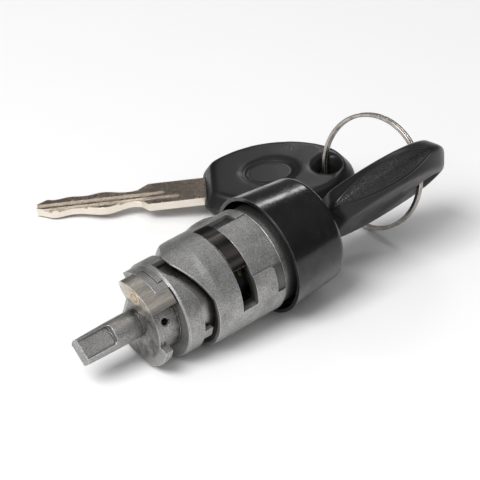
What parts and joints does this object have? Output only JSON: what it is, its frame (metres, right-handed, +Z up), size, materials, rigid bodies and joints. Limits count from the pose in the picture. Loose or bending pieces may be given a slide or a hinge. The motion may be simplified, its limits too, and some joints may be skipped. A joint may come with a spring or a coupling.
{
  "type": "ignition lock cylinder",
  "caption": "Ignition lock cylinder with windowed barrel, helical-edged drive tail, trim cap and a pair of keys on a split ring.",
  "frame": {"origin": "on the barrel's axis, in the plane of the trim cap's rear rim", "axes": "+X along the barrel's axis from the tail towards the key; +Z up as the lock lies in the picture, square to X; +Y completes the right hand"},
  "size_m": [0.1223, 0.0945, 0.0378],
  "materials": {
    "zinc": "bare die-cast zinc, dull, slightly handled",
    "zinc_plug": "turned zinc, oiled",
    "zinc_tail": "bare die-cast zinc with old grease in the corners",
    "cap_plastic": "glossy black, light dust and scuffs",
    "black_steel": "blackened and oiled",
    "pin_steel": "plain spring steel",
    "spring_steel": "plain spring steel",
    "insert_steel": "hardened, dark, rubbed bright on the edges",
    "latch_steel": "plain, worn",
    "brass": "stamped, dull",
    "rivet_brass": "peened, pale",
    "key_nickel": "nickel-plated, fine scratches",
    "bow_plastic": "black moulded, grained grip on the edges",
    "ring_steel": "nickel-plated spring steel"
  },
  "bodies": {
    "barrel": {"housing": "zinc", "cap": "cap_plastic", "sleeve": "black_steel", "sleeve_pin": "pin_steel", "guard_band": "black_steel"},
    "rotor": {"plug": "zinc_plug", "wafer_1": "brass", "wafer_2": "brass", "wafer_3": "brass", "wafer_4": "brass", "wafer_5": "brass", "wafer_6": "brass", "wafer_7": "brass", "wafer_8": "brass", "wafer_springs": "spring_steel", "retainer": "brass", "retainer_spring": "spring_steel", "thrust_washer": "black_steel", "tail": "zinc_tail", "cam_insert": "insert_steel", "rivet": "rivet_brass", "cross_pin": "pin_steel"},
    "pawl": {"latch": "latch_steel"},
    "key": {"key_blade": "key_nickel", "key_bow": "bow_plastic"},
    "ring": {"split_ring": "ring_steel"},
    "spare": {"spare_blade": "key_nickel", "spare_bow": "bow_plastic"}
  },
  "joints": [
    {"name": "plug_turn", "type": "hinge", "parent": "barrel", "child": "rotor", "pos_m": [0, 0, 0], "axis": [-1, 0, 0], "range_deg": [0, 86]},
    {"name": "key_slide", "type": "slide", "parent": "rotor", "child": "key", "axis": [1, 0, 0], "range_m": [0, 0.05]},
    {"name": "ring_swing", "type": "hinge", "parent": "key", "child": "ring", "pos_m": [0.0572, 0, 0], "axis": [0.2193, 0.4067, 0.8869], "range_deg": [-20, 12]},
    {"name": "spare_swing", "type": "hinge", "parent": "ring", "child": "spare", "pos_m": [0.04779, 0.02713, -0.01072], "axis": [-0.2092, -0.4377, -0.8745], "range_deg": [-20, 20]},
    {"name": "latch_press", "type": "slide", "parent": "barrel", "child": "pawl", "axis": [0, -0.6561, -0.7547], "range_m": [0, 0.0006], "stiffness_N_per_m": 400}
  ]
}
